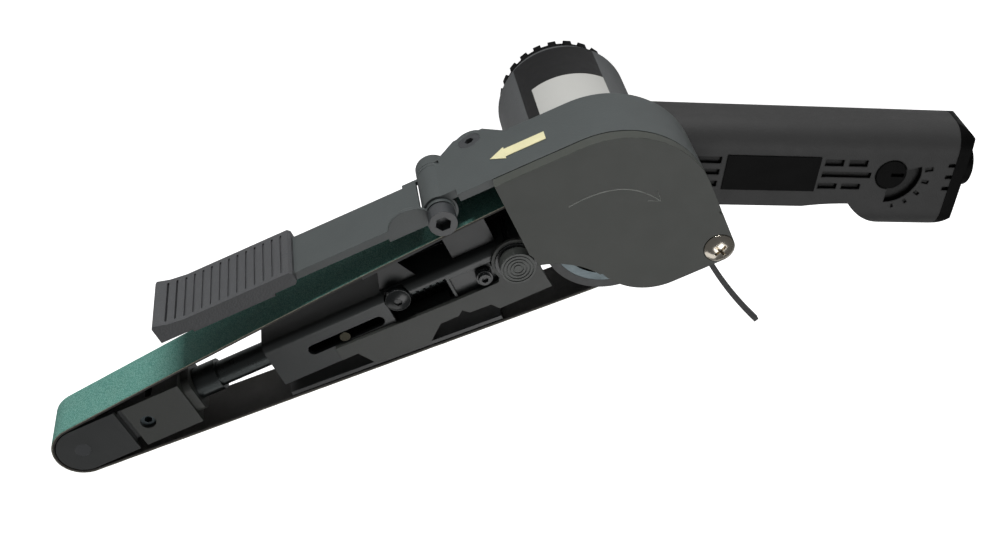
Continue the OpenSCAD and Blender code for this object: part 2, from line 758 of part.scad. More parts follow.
stem_r = 2.4;
button_head_h = 8.4;

module release_button() {
  z0 = button_top - button_head_h;
  color([0.38, 0.39, 0.38]) translate([button_x, button_y, 0]) difference() {
    union() {
      translate([0, 0, z0]) cylinder(r = button_r, h = button_head_h);
      translate([0, 0, collar_z0 + button_travel + 0.4])
        cylinder(r = stem_r, h = z0 - collar_z0 - button_travel);
    }
    for (r = [1.4:1.2:button_r - 0.6]) translate([0, 0, button_top - 0.3]) tube_ring(r + 0.4, r, 1);
  }
}

module button_spring() {
  z0 = collar_z0 + 2 + 0.1;
  color([0.6, 0.6, 0.6]) translate([button_x, button_y, z0])
    coil(stem_r + 1.5, 0.35, 6, button_top - button_head_h - z0 - 0.1);
}

module tension_spring() {
  x0 = tube_end_x + 0.2;
  color([0.6, 0.6, 0.6]) translate([x0, 0, belt_mid]) rotate([0, 90, 0])
    coil(rod_r + 0.75, 0.42, 12, rear_guide_x - x0 - 0.2);
}

knob_head_r = 4.4;

module tracking_screw() {
  color([0.12, 0.13, 0.13]) translate([knob_x, knob_y, 0]) difference() {
    union() {
      translate([0, 0, arm_z1 - 1.8]) cylinder(r = knob_head_r, h = 2.6);
      intersection() {
        translate([0, 0, arm_z1 + 0.7]) cylinder(r = knob_head_r, h = 4);
        translate([0, 0, arm_z1 - 6.2]) sphere(r = 8.2);
      }
      translate([0, 0, arm_z0 + sheet + 0.3]) cylinder(r = 1.5, h = arm_z1 - arm_z0 - sheet - 1);
    }
    translate([0, 0, arm_z1 + 1.2]) hex(1.5, 5);
  }
}

// Guard over the upper run
ear_r = 5.2;

module near_ear_outline() {
  arc_r = 9;
  x0 = guard_x1 - 13.5;
  difference() {
    union() {
      translate([x0 + arc_r, hinge_y - 2.2]) circle(arc_r);
      translate([x0 + arc_r, hinge_y - 2]) square([hinge_x - x0 - arc_r, 2 + guard_y - hinge_y]);
      translate([hinge_x, hinge_y]) circle(ear_r);
    }
    translate([x0 - 30, hinge_y - 22]) square([hinge_x - x0 + 30 - 6, 20]);
    translate([x0, hinge_y - 22 - ear_r]) square([40, 22]);
  }
}

module belt_guard() {
  color([0.34, 0.35, 0.35]) difference() {
    union() {
      translate([guard_x0, guard_y - sheet, guard_z0])
        cube([guard_x1 - guard_x0, sheet, near_ear_z + sheet - guard_z0]);
      translate([0, 0, near_ear_z]) linear_extrude(sheet) near_ear_outline();
      translate([hinge_x, hinge_y, far_ear_z]) cylinder(r = knuckle_r, h = sheet);
      translate([guard_x1 - 1, guard_y - sheet, far_ear_z]) cube([hinge_x - guard_x1 + 1, sheet, sheet]);
      translate([guard_x1 - 5, guard_y - sheet, far_ear_z])
        cube([5, sheet, guard_z0 - far_ear_z + 1]);
      translate([guard_x0 + 8, guard_y - sheet - 1.4, near_ear_z])
        cube([guard_x1 - guard_x0 - 20, 2.9, sheet]);
    }
    translate([hinge_x, hinge_y, 0]) cylinder(r = hinge_r, h = 150);
    for (x = rivet_xs) translate([x, guard_y - 5, belt_mid]) rotate([-90, 0, 0])
      cylinder(r = 2 + seat, h = 10);
  }
}

grip_x0 = guard_x0 - 3.6;
grip_z0 = guard_z0 - 2.2;
grip_z1 = belt_top + 2.5;
grip_top = guard_y + 2.4;
grip_bottom = guard_y - sheet - 1.3;
groove_pitch = (grip_len - 8.5) / (groove_count - 1);
rivet_xs = [grip_x0 + 14, grip_x0 + grip_len - 12];

module finger_grip() {
  lip = 2.2;
  color([0.26, 0.27, 0.27]) difference() {
    translate([0, 0, grip_z0]) linear_extrude(grip_z1 - grip_z0) polygon([
        [grip_x0, grip_bottom], [grip_x0 + grip_len - 1, grip_bottom],
        [grip_x0 + grip_len, grip_bottom + 1], [grip_x0 + grip_len, grip_top - 1],
        [grip_x0 + grip_len - 1, grip_top], [grip_x0 + 12, grip_top],
        [grip_x0 + 5.5, grip_top + 0.8], [grip_x0 + 1, grip_top + lip],
        [grip_x0, grip_top + lip - 0.8]]);
    translate([guard_x0 - seat, guard_y - sheet - seat, guard_z0 - seat])
      cube([200, sheet + 2 * seat, near_ear_z + sheet - guard_z0 + 2 * seat]);
    translate([guard_x0 + 8 - seat, guard_y - sheet - 1.4 - seat, near_ear_z - seat])
      cube([200, 3, sheet + 2 * seat]);
    for (i = [0:groove_count - 1]) translate([grip_x0 + 4.6 + i * groove_pitch, grip_top - 0.7, grip_z0 + 2])
      cube([0.7, 5, grip_z1 - grip_z0 - 4]);
    for (x = rivet_xs) translate([x, grip_bottom - 1, belt_mid]) rotate([-90, 0, 0]) {
      cylinder(r = 2 + seat, h = grip_top - grip_bottom - 0.2);
      cylinder(r = 3.4 + seat, h = 1.6);
    }
  }
  color([0.26, 0.27, 0.27]) translate([grip_x0 + 12, grip_bottom - 1, near_ear_z + sheet + 0.2])
    cube([grip_len - 21, 2, grip_z1 - near_ear_z - sheet - 0.2]);
}

module grip_rivets() {
  color([0.5, 0.5, 0.5]) for (x = rivet_xs) translate([x, grip_bottom, belt_mid]) rotate([-90, 0, 0]) {
    cylinder(r = 2, h = guard_y - grip_bottom + 1);
    cylinder(r = 3.4, h = 0.6 - seat);
  }
}

module hinge_bolt() {
  head_z = near_ear_z + sheet + 0.15;
  color([0.62, 0.6, 0.57]) difference() {
    translate([hinge_x, hinge_y, 0]) {
      translate([0, 0, knuckle_z0 + 0.6]) cylinder(r = bolt_r, h = head_z - knuckle_z0);
      translate([0, 0, head_z]) cylinder(r = 4.8, h = 6);
    }
    translate([hinge_x, hinge_y, head_z + 2.6]) hex(2.75, 5);
  }
}

module hinge_nut() {
  color([0.5, 0.5, 0.5]) translate([hinge_x, hinge_y, knuckle_z0 + 0.3]) difference() {
    cylinder(r = nut_r, h = nut_h);
    translate([0, 0, -1]) cylinder(r = bolt_r + seat, h = 8);
    translate([-6, -0.6, -1]) cube([12, 1.2, 1.8]);
  }
}

// Nose
module tension_tube() {
  color([0.36, 0.37, 0.38]) difference() {
    union() {
      along_x(fork_x0 + 12, 0, belt_mid) cylinder(r = tube_r, h = tube_end_x - fork_x0 - 12);
      along_x(socket_x + 0.1, 0, belt_mid) cylinder(r = 5.8, h = tube_collar_x - socket_x);
      along_x(tube_end_x - 3, 0, belt_mid) cylinder(r = rod_r, h = rod_end_x - tube_end_x + 3);
    }
    translate([pin_x, 0, belt_mid - 3]) cylinder(r = pin_r + seat, h = 20);
  }
}

module guide_pin() {
  color([0.8, 0.78, 0.72]) translate([pin_x, 0, belt_mid - 3 + seat])
    cylinder(r = pin_r, h = arm_z1 + 0.3 - belt_mid + 3);
}

module nose_fork() {
  gap_h = 13;
  color([0.4, 0.41, 0.4]) difference() {
    union() {
      translate([fork_x0, -fork_half, belt_z + 0.2])
        cube([fork_x1 - fork_x0, 2 * fork_half, belt_w - 0.4]);
      along_x(fork_x1 - 1, 0, belt_mid) linear_extrude(socket_x - fork_x1 + 1)
        rounded_rect(16.5, 15, 4);
    }
    translate([fork_x0 - 1, -20, belt_mid - gap_h / 2]) cube([12, 40, gap_h]);
    translate([fork_x0 - 1, -20, belt_z + 1.7]) cube([fork_x1 - fork_x0 - 2, 20 - 7.4, belt_w - 3.4]);
    translate([fork_x0 - 1, 7.4, belt_z + 1.7]) cube([fork_x1 - fork_x0 - 2, 20, belt_w - 3.4]);
    along_x(fork_x0 + 10, 0, belt_mid) cylinder(r = tube_r + seat, h = 60);
    translate([pivot_x, 0, belt_z]) cylinder(r = 2.8 + seat, h = 40);
  }
}

module nose_yoke() {
  color([0.27, 0.28, 0.29]) difference() {
    union() {
      for (z = [belt_z + 0.2, belt_top - 0.2 - 1.7]) translate([0, 0, z]) linear_extrude(1.7) {
        translate([-arm_reach, 0]) circle(yoke_half);
        translate([-arm_reach, -yoke_half]) square([yoke_x1 + arm_reach, 2 * yoke_half]);
      }
      translate([-arm_reach + roller_r + 1.5, -7, belt_z + 0.2])
        cube([yoke_x1 + arm_reach - roller_r - 1.5, 14, belt_w - 0.4]);
      translate([yoke_x1 - 1, -7, belt_mid - 6.3]) cube([12, 14, 12.6]);
    }
    translate([-arm_reach, 0, belt_z]) cylinder(r = axle_r + seat, h = 40);
    translate([pivot_x, 0, belt_z]) cylinder(r = 2.8 + seat, h = 40);
  }
}

module yoke_screw() {
  color([0.3, 0.36, 0.37]) difference() {
    translate([pivot_x, 0, belt_z + 0.6]) cylinder(r = 2.8, h = belt_w - 2.2);
    translate([pivot_x, 0, belt_top - 4]) hex(1.5, 5);
  }
}

module roller_axle() {
  color([0.33, 0.34, 0.35]) translate([-arm_reach, 0, belt_z + 0.2])
    cylinder(r = axle_r, h = belt_w - 0.4);
}

needle_r = 5.4;

module nose_roller() {
  color([0.3, 0.3, 0.3]) translate([-arm_reach, 0, belt_z + 2.3])
    tube_ring(roller_r, needle_r + seat, belt_w - 4.6);
}

module roller_bearings() {
  h = (belt_w - 5) / 2;
  color([0.7, 0.7, 0.7]) for (z = [belt_z + 2.4, belt_z + 2.6 + h - 0.1])
    translate([-arm_reach, 0, z]) tube_ring(needle_r, axle_r + run, h - 0.2);
}

// Handle
sleeve_r = 7;
core_end = handle_len + 0.6;
muffler_t = 2.6;
bushing_r = 7.2;
bushing_u0 = handle_len + cap_len - inlet_len - 6;
spindle_r = 2;
lever_pin_r = 2;

module side_outline(d = 0) {
  half = handle_w / 2 - d;
  waist = 1.5;
  waist_r = 120;
  butt_r = 35;
  difference() {
    union() {
      difference() {
        translate([0, -half]) square([handle_len + cap_len, 2 * half]);
        translate([handle_len - 38, -half - waist_r + waist]) circle(waist_r, $fn = 300);
      }
      intersection() {
        translate([handle_len - 12, -half + butt_r - butt_drop]) circle(butt_r, $fn = 200);
        translate([handle_len - 60, -half - 20]) square([60 + cap_len, half + 20]);
      }
    }
    translate([handle_len + cap_len - 0.01, -60]) square([60, 120]);
  }
}

module handle_section(drop, d = 0) {
  translate([-drop / 2, 0]) rounded_rect(handle_w + drop - 2 * d, handle_t - 2 * d, sec_r - d);
}

// Handle body between two stations, in the handle's own frame
module handle_body(u0, u1, d = 0) {
  translate([0, body_v, 0]) intersection() {
    translate([0, 0, -30]) linear_extrude(60) side_outline(d);
    translate([u0, 0, 0]) rotate([90, 0, 90]) linear_extrude(u1 - u0) {
      handle_section(0, d);
      handle_section(butt_drop, d);
    }
  }
}

module vent_slots() {
  depth = 1.5;
  for (s = [[90.7, 5, 7.3, 2.8], [100.2, 5, 7.3, 2.8], [90.5, 0, 19.4, 2.4], [90, -5, 7.4, 2.4],
      [99.4, -5, 7.4, 2.4], [40.5, 5, 9.9, 2.8], [40.5, 0, 9.9, 2.4], [40.5, -5, 9.9, 2.4]])
    translate([s[0], s[1] - s[3] / 2, face_w - depth]) cube([s[2], s[3], 5]);
  for (v = [-5, 0, 5]) translate([handle_len - 2.6, v - 0.8, face_w - depth]) cube([10, 1.6, 5]);
}

module regulator_recess() {
  depth = 2.4;
  translate([knob_u, knob_v, face_w - depth]) {
    cylinder(r = regulator_r + 0.4, h = 10);
    translate([0, 0, -8]) cylinder(r = spindle_r + 0.3, h = 10);
    intersection() {
      cylinder(r = 12, h = 10);
      linear_extrude(10) polygon([[0, 0], [30, 10], [30, -30], [0, -30]]);
    }
  }
  for (i = [0:4]) translate([knob_u, knob_v, face_w - 0.8]) rotate([0, 0, 10 - 21 * i])
    translate([13.3, -0.9 + 0.12 * i, 0]) cube([3.2 - 0.4 * i, 1.8 - 0.24 * i, 5]);
}

module handle_grip() {
  color([0.24, 0.25, 0.25]) in_handle() difference() {
    handle_body(0, handle_len);
    along_u(-1) linear_extrude(handle_len + 20) core_section(-seat);
    translate([0, 0, -40]) cylinder(r = barrel_r + seat, h = 80);
    vent_slots();
    regulator_recess();
    translate([name_u0 - seat, -name_h / 2 - seat, face_w - 0.6])
      cube([name_len + 2 * seat, name_h + 2 * seat, 5]);
    translate([pivot_u - 8, -lever_w / 2 - 3.2, -face_w - 5]) cube([16, lever_w + 6.4, 5 + 6]);
    translate([valve_u, 0, -30]) cylinder(r = sleeve_r + 0.4, h = 30);
    translate([catch_u - 5, -catch_t / 2 - 1, -face_w - 1]) cube([13, catch_t + 2, 3.8]);
  }
}

module name_plate() {
  color([0.05, 0.05, 0.05]) in_handle() translate([name_u0, -name_h / 2, face_w - 0.6 + seat])
    cube([name_len, name_h, 0.9]);
}

cap_body = cap_len - 2;

// The cap's outline from the side: a round shoulder above and a larger one at the butt
module cap_outline() {
  top_r = 9;
  low_r = 15;
  top = body_v + handle_w / 2;
  low = body_v - handle_w / 2 - butt_drop + low_r;
  u1 = handle_len + cap_body;
  translate([u1 - 30, 0]) square([30 - top_r, top]);
  translate([u1 - 30, -60]) square([30 - low_r, 60.01]);
  translate([u1 - 30, low]) square([30, top - top_r - low]);
  translate([u1 - top_r, top - top_r]) circle(top_r, $fn = 96);
  translate([u1 - low_r, low]) circle(low_r, $fn = 96);
}

module end_cap() {
  mid = -butt_drop / 2;
  color([0.09, 0.09, 0.09]) in_handle() difference() {
    union() {
      intersection() {
        handle_body(handle_len + seat, handle_len + cap_body);
        translate([0, 0, -30]) linear_extrude(60) cap_outline();
        translate([0, 30, 0]) rotate([90, 0, 0]) linear_extrude(90) translate([handle_len - 20, 0])
          circle(r = cap_body + 20, $fn = 96);
      }
      along_u(handle_len + 5) cylinder(r = bushing_r + 1.6, h = cap_len - 5);
    }
    along_u(handle_len - 1) linear_extrude(core_end - handle_len + muffler_t + 1.2) core_section(-seat);
    along_u(0) cylinder(r = bushing_r + seat, h = 300);
    for (s = [-1, 1]) along_u(handle_len - 1) translate([s * 13, 0, 0]) cylinder(r = 1.6, h = 40);
    along_u(handle_len - 1) translate([mid - 14, 0, 0]) cylinder(r = 1.6, h = 40);
  }
}

module inlet_bushing() {
  top = handle_len + cap_len - 0.2;
  color([0.62, 0.62, 0.6]) in_handle() difference() {
    along_u(bushing_u0 + seat) cylinder(r = bushing_r, h = top - bushing_u0);
    along_u(top - inlet_len) cylinder(r = inlet_r, h = 40);
    along_u(top - inlet_len - screen_pocket) cylinder(r = screen_r, h = 40);
    along_u(0) cylinder(r = 4.4, h = 200);
  }
}

screen_pocket = 1.4;
screen_r = inlet_r - 0.5;

module inlet_screen() {
  u = handle_len + cap_len - 0.2 - inlet_len - screen_pocket;
  color([0.7, 0.65, 0.5]) in_handle() difference() {
    along_u(u + seat) cylinder(r = screen_r - seat, h = 0.8);
    for (i = [0:5]) along_u(u - 1) rotate(i * 60) translate([3, 0, 0]) cylinder(r = 0.9, h = 4);
    along_u(u - 1) cylinder(r = 0.9, h = 4);
  }
}

module exhaust_muffler() {
  color([0.5, 0.48, 0.42]) in_handle() difference() {
    along_u(core_end + 0.1) linear_extrude(muffler_t) core_section(0.1);
    along_u(core_end - 1) cylinder(r = bushing_r + 0.2, h = 20);
  }
}

module valve_sleeve() {
  color([0.6, 0.58, 0.45]) in_handle() translate([valve_u, 0, 0]) difference() {
    translate([0, 0, -core_t / 2 - 1]) cylinder(r = sleeve_r, h = core_t / 2 + 1);
    translate([0, 0, -30]) cylinder(r = valve_stem_r + run, h = 60);
    translate([0, 0, -3]) cylinder(r = 4.9, h = 20);
  }
}

valve_stem_r = 1.8;
valve_rest = 0.25;
valve_pocket = core_t / 2 - 1.1;

module throttle_valve() {
  color([0.75, 0.75, 0.72]) in_handle() translate([valve_u, 0, 0]) {
    translate([0, 0, valve_w0]) cylinder(r = valve_stem_r, h = 2.4 - valve_w0);
    translate([0, 0, valve_rest + 0.9]) cylinder(r = 5.6, h = 1.2);
  }
}

module valve_seal() {
  color([0.1, 0.1, 0.1]) in_handle() translate([valve_u, 0, valve_rest])
    tube_ring(5.4, valve_stem_r + seat, 0.88);
}

module valve_spring() {
  z0 = valve_rest + 2.3;
  color([0.6, 0.6, 0.6]) in_handle() translate([valve_u, 0, z0]) coil(3.6, 0.35, 4, valve_pocket - 0.2 - z0);
}

// Throttle lever on the far side of the handle
lever_top = pivot_w - 1.8;
lever_t = 2.4;
lever_drop = 0.8;
lever_lip = 1.2;
lever_bend = 18;
valve_w0 = lever_top + 0.3 - lever_drop * (valve_u - pivot_u - 4.5) / (lever_len - lever_bend - 4.5);

module throttle_lever() {
  u1 = pivot_u + lever_len;
  color([0.3, 0.31, 0.31]) in_handle() difference() {
    union() {
      translate([pivot_u, lever_w / 2 - 1.6, pivot_w]) rotate([90, 0, 0])
        cylinder(r = 3.2, h = lever_w - 3.2);
      translate([0, lever_w / 2, 0]) rotate([90, 0, 0]) linear_extrude(lever_w) polygon([
          [pivot_u + 4.5, lever_top], [u1 - lever_bend, lever_top - lever_drop],
          [u1, lever_top - lever_drop - lever_lip], [u1 - 1, lever_top - lever_drop - lever_lip - lever_t],
          [u1 - lever_bend - 1, lever_top - lever_drop - lever_t], [pivot_u + 4.5, lever_top - lever_t]]);
      translate([pivot_u, -lever_w / 2 + 1.6, pivot_w - 3.2]) cube([8, lever_w - 3.2, 2.4]);
    }
    translate([pivot_u, -20, pivot_w]) rotate([-90, 0, 0]) cylinder(r = lever_pin_r + run, h = 40);
    translate([catch_u - 10, -catch_t / 2 - 0.3, lever_top - 12]) cube([14, catch_t + 0.6, 15]);
    translate([catch_u, -20, catch_w]) rotate([-90, 0, 0]) cylinder(r = catch_pin_r + seat, h = 40);
  }
}

catch_u = 92;
catch_w = lever_top - 1.7;
catch_t = 5;
catch_pin_r = 0.8;
prop_top = -face_w - 1;

module lever_pin() {
  half = lug_mid + lug_t / 2;
  color([0.7, 0.7, 0.7]) in_handle() translate([pivot_u, -half, pivot_w]) rotate([-90, 0, 0])
    cylinder(r = lever_pin_r, h = 2 * half);
}

module lever_catch() {
  color([0.5, 0.1, 0.08]) in_handle() difference() {
    union() {
      translate([catch_u, catch_t / 2, catch_w]) rotate([90, 0, 0]) cylinder(r = 2.3, h = catch_t);
      translate([0, catch_t / 2, 0]) rotate([90, 0, 0]) linear_extrude(catch_t) polygon([
          [catch_u - 1.6, prop_top], [catch_u - 1.7, catch_w], [catch_u - 4.8, catch_w - 6.2],
          [catch_u - 3.2, catch_w - 6.8],
          [catch_u + 1.7, catch_w - 1], [catch_u + 1.2, prop_top]]);
    }
    translate([catch_u, -20, catch_w]) rotate([-90, 0, 0]) cylinder(r = catch_pin_r + run, h = 40);
  }
}

module catch_pin() {
  color([0.7, 0.7, 0.7]) in_handle() translate([catch_u, -lever_w / 2 + 0.2, catch_w])
    rotate([-90, 0, 0]) cylinder(r = catch_pin_r, h = lever_w - 0.4);
}

module regulator_knob() {
  color([0.1, 0.1, 0.1]) in_handle() translate([knob_u, knob_v, 0]) difference() {
    union() {
      translate([0, 0, 0.6]) cylinder(r = spindle_r, h = face_w - 2);
      translate([0, 0, face_w - 2.4 + seat]) cylinder(r = regulator_r, h = 2.6);
    }
    translate([0, -0.7, face_w - 1.2]) cube([5, 1.4, 5]);
  }
}

module barrel_band() {
  band_z = cap_h + 4.6;
  color([0.8, 0.8, 0.8]) translate([0, 0, band_z]) rotate([0, 0, 42])
    rotate_extrude(angle = 75, $fn = 128) translate([barrel_r + seat, 0]) square([0.25, 44]);
}

motor_housing();
motor_cap();
cylinder_liner();
front_end_plate();
rear_end_plate();
front_bearing();
rear_bearing();
barrel_band();
handle_grip();
name_plate();
end_cap();
inlet_bushing();
inlet_screen();
exhaust_muffler();
valve_sleeve();
lever_pin();
valve_spring();
rotor();
vanes();
drive_hub();
drive_tyre();
drive_screw();
belt_housing();
side_cover();
cover_screw();
clamp_screw();
direction_arrow();
spark_flap();
arm_channel();
arm_screws();
tube_guides();
side_plate();
platen();
upper_platen();
set_screw();
button_collar();
button_spring();
hinge_bolt();
hinge_nut();
sanding_belt();
tension_spring();
belt_guard();
finger_grip();
grip_rivets();
tension_tube();
nose_fork();
nose_yoke();
yoke_screw();
roller_axle();
guide_pin();
nose_roller();
roller_bearings();
release_button();
tracking_screw();
throttle_lever();
lever_catch();
catch_pin();
throttle_valve();
valve_seal();
regulator_knob();
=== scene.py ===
"""Belt sander: finishes, modelled details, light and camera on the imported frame."""
import math

import bmesh
import bpy
from mathutils import Matrix, Vector, noise


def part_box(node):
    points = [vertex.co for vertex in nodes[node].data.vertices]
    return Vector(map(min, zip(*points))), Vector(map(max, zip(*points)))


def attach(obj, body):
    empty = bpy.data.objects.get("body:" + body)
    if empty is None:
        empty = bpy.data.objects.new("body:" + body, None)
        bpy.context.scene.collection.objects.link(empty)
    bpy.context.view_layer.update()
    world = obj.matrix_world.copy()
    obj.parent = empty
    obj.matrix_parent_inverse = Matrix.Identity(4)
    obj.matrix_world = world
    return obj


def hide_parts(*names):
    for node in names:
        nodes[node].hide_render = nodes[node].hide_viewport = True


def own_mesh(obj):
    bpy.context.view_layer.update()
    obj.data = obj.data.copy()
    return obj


MM = 0.001

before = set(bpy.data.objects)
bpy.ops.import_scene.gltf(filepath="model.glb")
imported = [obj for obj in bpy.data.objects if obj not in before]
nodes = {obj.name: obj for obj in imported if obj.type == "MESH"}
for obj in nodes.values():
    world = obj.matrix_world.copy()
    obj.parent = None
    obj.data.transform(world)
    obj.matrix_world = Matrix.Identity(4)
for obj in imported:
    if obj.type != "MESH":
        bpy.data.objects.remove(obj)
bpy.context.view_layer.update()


class Finish:
    """A procedural material: its textures lie in the object's own metres."""

    def __init__(self, name):
        self.mat = bpy.data.materials.new(name)
        self.mat.use_nodes = True
        self.tree = self.mat.node_tree
        self.shader = self.tree.nodes["Principled BSDF"]
        self.place = self.add("ShaderNodeTexCoord").outputs["Object"]

    def add(self, kind, inputs=None, **settings):
        """A new node with its inputs, each a value or another node's output, and its settings."""
        node = self.tree.nodes.new(kind)
        for key, value in settings.items():
            setattr(node, key, value)
        for key, value in (inputs or {}).items():
            self.join(value, node.inputs[key])
        return node

    def join(self, value, socket):
        if isinstance(value, bpy.types.NodeSocket):
            self.tree.links.new(value, socket)
        else:
            socket.default_value = value

    def set(self, **values):
        """Inputs of the surface shader, with _ for each space in their names."""
        for key, value in values.items():
            self.join(value, self.shader.inputs[key.replace("_", " ")])

    def stretched(self, scale):
        """Coordinates scaled along each axis, for noise that runs in lines."""
        return self.add("ShaderNodeMapping", {"Vector": self.place, "Scale": scale}).outputs[0]

    def noise(self, size, detail=3.0, rough=0.5, where=None):
        """Noise whose blobs are about size metres across."""
        inputs = {"Vector": where or self.place, "Scale": 1.0 / size, "Detail": detail}
        inputs["Roughness"] = rough
        return self.add("ShaderNodeTexNoise", inputs).outputs["Fac"]

    def cells(self, size):
        """Distance to the middle of cells about size metres across."""
        inputs = {"Vector": self.place, "Scale": 1.0 / size}
        return self.add("ShaderNodeTexVoronoi", inputs, feature="F1").outputs["Distance"]

    def math(self, operation, a, b=0.0):
        return self.add("ShaderNodeMath", {0: a, 1: b}, operation=operation).outputs[0]

    def range(self, value, low, high, to_low=0.0, to_high=1.0):
        """The value between low and high, mapped between to_low and to_high."""
        inputs = {0: value, 1: low, 2: high, 3: to_low, 4: to_high}
        return self.add("ShaderNodeMapRange", inputs).outputs[0]

    def mix(self, factor, a, b):
        node = self.add("ShaderNodeMix", data_type="RGBA")
        self.join(factor, node.inputs["Factor"])
        self.join(a, node.inputs[6])
        self.join(b, node.inputs[7])
        return node.outputs[2]

    def tone(self, color, amount, size):
        """The colour, darker and lighter by amount in soft patches."""
        patch = self.noise(size, 4.0, 0.6)
        dark = [c * (1 - amount) for c in color[:3]] + [1.0]
        light = [min(1.0, c * (1 + amount)) for c in color[:3]] + [1.0]
        return self.mix(self.range(patch, 0.3, 0.7), dark, light)

    def edge(self, radius, low=0.02, high=0.16):
        """One on edges, nothing on flats: the mask for rubbed paint and painted edge highlight."""
        round_normal = self.add("ShaderNodeBevel", {"Radius": radius}, samples=4).outputs[0]
        flat = self.add("ShaderNodeNewGeometry").outputs["Normal"]
        same = self.add("ShaderNodeVectorMath", {0: round_normal, 1: flat}, operation="DOT_PRODUCT")
        return self.range(self.math("SUBTRACT", 1.0, same.outputs["Value"]), low, high)

    def relief(self, height, depth, radius=0.0):
        """Sets the normal: a bump depth metres deep on edges rounded by radius metres."""
        inputs = {"Height": height, "Distance": depth, "Strength": 1.0}
        if radius:
            inputs["Normal"] = self.add("ShaderNodeBevel", {"Radius": radius}, samples=4).outputs[0]
        self.set(Normal=self.add("ShaderNodeBump", inputs).outputs[0])


def rgb(*levels):
    """A linear colour from display levels between 0 and 255."""
    linear = [(v / 255 / 12.92) if v <= 10 else ((v / 255 + 0.055) / 1.055) ** 2.4 for v in levels]
    return (*linear, 1.0)


def paint(name, color, rough, radius=0.35 * MM, grain=0.9 * MM, depth=0.03 * MM, wear_and_highlight=0.35):
    """Satin paint: fine orange peel, faint patches, and edges painted lighter, partly as rubbed wear and
    partly as painted highlight.
    """
    f = Finish(name)
    base = f.tone(color, 0.04, 14 * MM)
    # Lighter edges: part rubbed paint, part painted highlight where light catches the edges
    rubbed_edge_highlight = f.math("MULTIPLY", f.edge(radius * 1.6), f.range(f.noise(3 * MM, 5.0, 0.7), 0.42, 0.68))
    worn_highlight_color = [min(1.0, c * 2.6 + 0.02) for c in color[:3]] + [1.0]
    base = f.mix(f.math("MULTIPLY", rubbed_edge_highlight, wear_and_highlight), base, worn_highlight_color)
    f.set(Base_Color=base, Metallic=0.0)
    haze = f.noise(9 * MM, 5.0, 0.65)
    f.set(Roughness=f.range(haze, 0.3, 0.7, rough - 0.015, rough + 0.025))
    peel = f.math("ADD", f.noise(grain, 2.0), f.math("MULTIPLY", f.noise(grain * 0.35, 2.0), 0.5))
    f.relief(peel, depth, radius)
    return f.mat


def moulded(name, color, rough, radius=0.5 * MM, grain=0.55 * MM, depth=0.06 * MM, shine=0.5,
            shaded_recess_level=None):
    """Moulded composite or plastic with a spark-eroded grain.

    The last argument is the level of a face whose hollows are painted black as shade."""
    f = Finish(name)
    base = f.tone(color, 0.05, 9 * MM)
    if shaded_recess_level:
        # Recess floors and walls painted black: painted shade in the hollows
        base = f.mix(recess_shade_mask(f, shaded_recess_level), base, BLACK)
    f.set(Base_Color=base, Metallic=0.0, Specular_IOR_Level=shine)
    f.set(Roughness=f.range(f.noise(6 * MM, 4.0, 0.6), 0.3, 0.7, rough - 0.02, rough + 0.03))
    pits = f.math("ADD", f.cells(grain), f.math("MULTIPLY", f.noise(grain * 2.4, 3.0), 0.8))
    f.relief(pits, depth, radius)
    return f.mat


# Recesses painted black as shade: their depths, and how far their floors and walls look along Z
RECESS_START = 0.3 * MM
RECESS_END = 3.2 * MM
FLOOR_FACING = 0.975
WALL_FACING = 0.4


def recess_shade_mask(f, level):
    """One on the floors and walls of recesses in a face at that level, which looks along Z: where black
    shade is painted.
    """
    depth = f.math("SUBTRACT", level, f.add("ShaderNodeSeparateXYZ", {0: f.place}).outputs["Z"])
    below = f.math("GREATER_THAN", depth, RECESS_START)
    near = f.math("LESS_THAN", depth, RECESS_END)
    facing = f.add("ShaderNodeTexCoord").outputs["Normal"]
    facing = f.add("ShaderNodeSeparateXYZ", {0: facing}).outputs["Z"]
    floor_or_wall = f.math("MAXIMUM", f.math("GREATER_THAN", facing, FLOOR_FACING),
                           f.math("LESS_THAN", facing, WALL_FACING))
    return f.math("MULTIPLY", f.math("MULTIPLY", below, near), floor_or_wall)


def metal(name, color, rough, along=(1, 1, 1), radius=0.2 * MM, depth=0.008 * MM, spread=0.08):
    """Machined or plated metal with fine lines along one direction and a few smears."""
    f = Finish(name)
    lines = f.noise(0.5 * MM, 3.0, 0.6, f.stretched(along))
    smear = f.noise(5 * MM, 4.0, 0.6)
    shade = [c * 0.82 for c in color[:3]] + [1.0]
    f.set(Base_Color=f.mix(f.range(smear, 0.35, 0.75), color, shade), Metallic=1.0)
    f.set(Roughness=f.range(f.math("ADD", lines, smear), 0.7, 1.3, rough - spread / 2, rough + spread))
    f.relief(lines, depth, radius)
    return f.mat


def rubber(name, color, rough, grain=0.35 * MM):
    """Dull rubber with a fine grain and uneven tone."""
    f = Finish(name)
    f.set(Base_Color=f.tone(color, 0.14, 5 * MM), Metallic=0.0)
    f.set(Roughness=f.range(f.noise(2 * MM, 4.0, 0.7), 0.3, 0.7, rough - 0.08, rough + 0.05))
    f.relief(f.noise(grain, 4.0, 0.7), 0.06 * MM, 0.3 * MM)
    return f.mat


def felt(name, color):
    """Felt: short fibres, without any sheen."""
    f = Finish(name)
    fibre = f.noise(0.25 * MM, 5.0, 0.8, f.stretched((1, 3, 1)))
    dark = [c * 0.5 for c in color[:3]] + [1.0]
    f.set(Base_Color=f.mix(f.range(fibre, 0.35, 0.65), dark, color), Roughness=0.95)
    f.relief(fibre, 0.2 * MM)
    return f.mat


